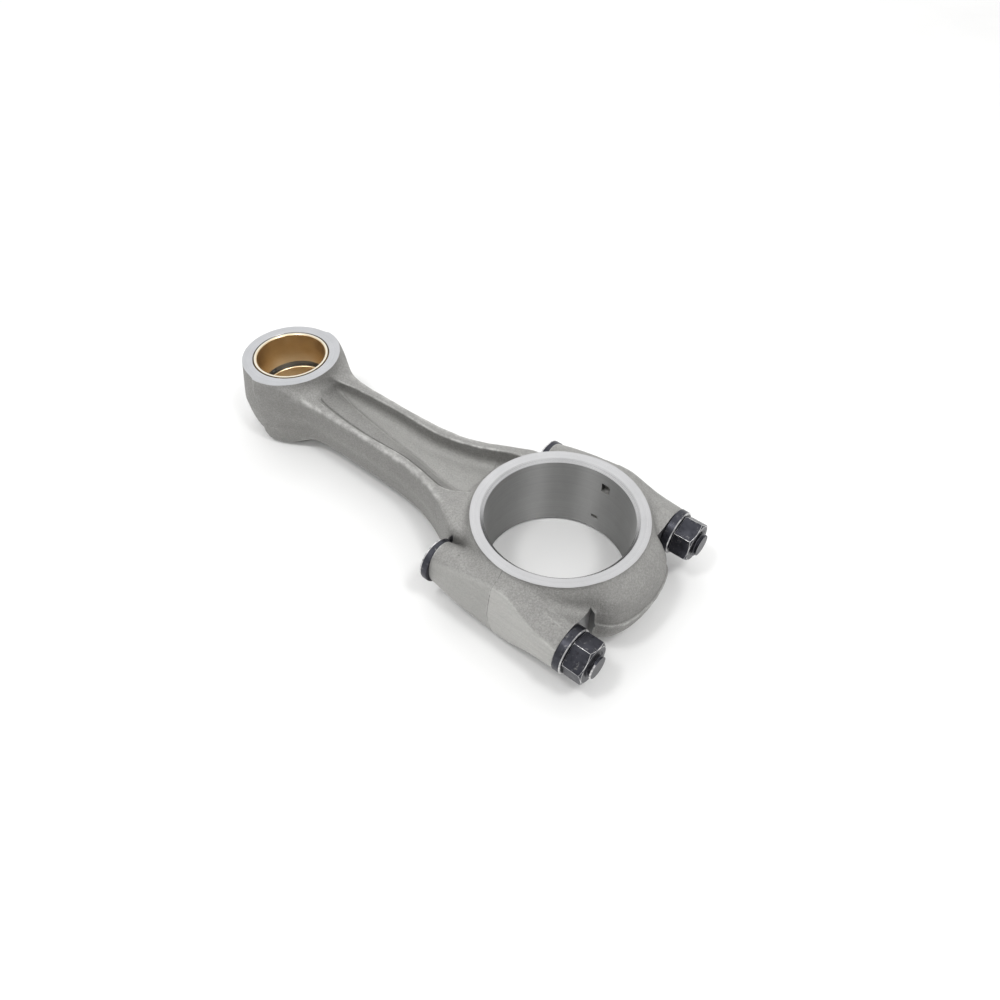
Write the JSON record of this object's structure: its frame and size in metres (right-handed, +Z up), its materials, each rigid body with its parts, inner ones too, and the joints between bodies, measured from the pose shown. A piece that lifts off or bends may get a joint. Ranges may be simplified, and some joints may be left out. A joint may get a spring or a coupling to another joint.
{
  "type": "connecting rod",
  "caption": "Forged engine connecting rod with a bushed piston-pin eye and a split big end whose cap is held by through bolts and nuts.",
  "frame": {"origin": "under the middle of the rod, on the surface that its machined end faces lie on", "axes": "+X along the rod from the piston-pin end to the big-end cap, +Y across it, +Z up along both bore axes"},
  "size_m": [0.2606, 0.105, 0.042],
  "materials": {
    "forged_steel": "shot-blasted forging with machined end faces and bores",
    "bronze": "bored bronze",
    "black_oxide": "blue-black oxide with bright worn edges"
  },
  "bodies": {
    "rod": {"rod_body": "forged_steel", "small_end_bush_upper": "bronze", "small_end_bush_lower": "bronze", "bolt_left": "black_oxide", "bolt_right": "black_oxide"},
    "cap": {"big_end_cap": "forged_steel", "washer_left": "black_oxide", "washer_right": "black_oxide"},
    "nut_left": {"nut_left": "black_oxide"},
    "nut_right": {"nut_right": "black_oxide"}
  },
  "joints": [
    {"name": "cap_slide", "type": "slide", "parent": "rod", "child": "cap", "axis": [1, 0, 0], "range_m": [0, 0.012]},
    {"name": "nut_left_spin", "type": "hinge", "parent": "cap", "child": "nut_left", "pos_m": [0.1232, 0.0417, 0.021], "axis": [1, 0, 0], "range_deg": [0, 2880]},
    {"name": "nut_right_spin", "type": "hinge", "parent": "cap", "child": "nut_right", "pos_m": [0.1232, -0.0417, 0.021], "axis": [1, 0, 0], "range_deg": [0, 2880]}
  ],
  "couplings": [
    {"joint": "nut_left_spin", "follows": "cap_slide", "rad_per_m": 4188.8},
    {"joint": "nut_right_spin", "follows": "cap_slide", "rad_per_m": 4188.8}
  ]
}
